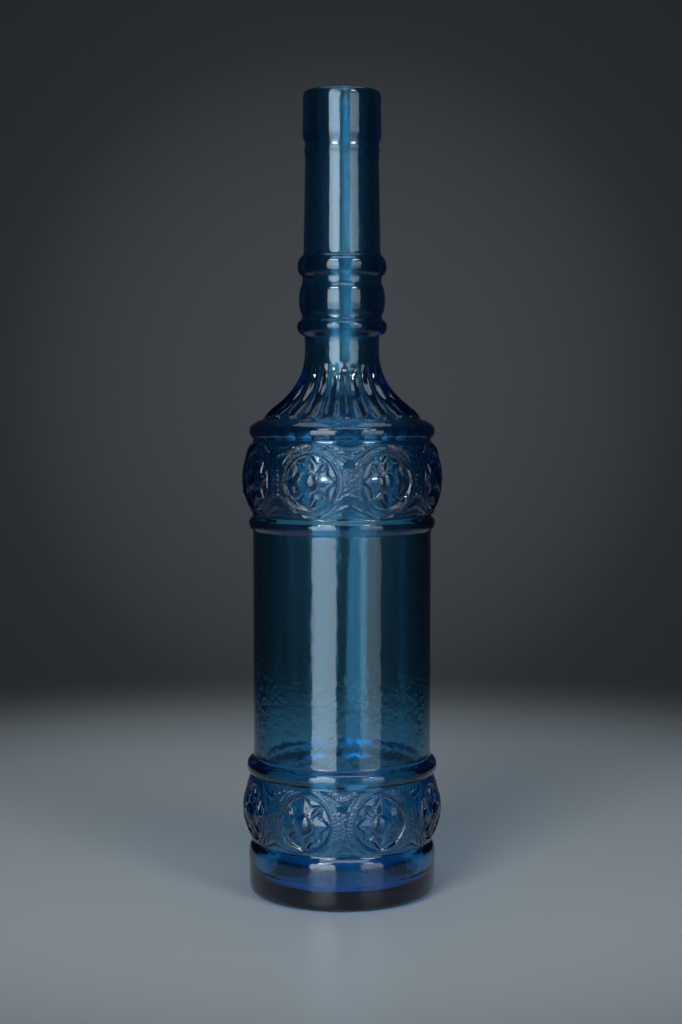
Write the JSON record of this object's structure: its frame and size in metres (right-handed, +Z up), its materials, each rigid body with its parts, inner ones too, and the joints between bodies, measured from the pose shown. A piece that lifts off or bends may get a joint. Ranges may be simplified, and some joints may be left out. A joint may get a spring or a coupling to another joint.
{
  "type": "bottle",
  "caption": "Tall decorative apothecary-style glass bottle: ringed neck, fluted shoulder, two embossed medallion bands and an open mouth.",
  "frame": {"origin": "centre of the resting face, on the bottle's axis", "axes": "+Z up along the bottle's axis to the mouth, -Y towards the front, +X to the right seen from the front"},
  "size_m": [0.075, 0.075, 0.3],
  "materials": {
    "blue_glass": "smooth transparent steel-blue pressed glass, glossy, slightly rippled on the barrel"
  },
  "bodies": {
    "root": {"base": "blue_glass", "lower_relief_band": "blue_glass", "lower_barrel_ring": "blue_glass", "barrel_wall": "blue_glass", "upper_barrel_ring": "blue_glass", "upper_relief_band": "blue_glass", "shoulder_ring": "blue_glass", "fluted_shoulder": "blue_glass", "knop_lower_ring": "blue_glass", "knop_bulb": "blue_glass", "knop_upper_ring": "blue_glass", "neck_tube": "blue_glass", "neck_bead": "blue_glass", "lip_finish": "blue_glass"}
  },
  "joints": []
}
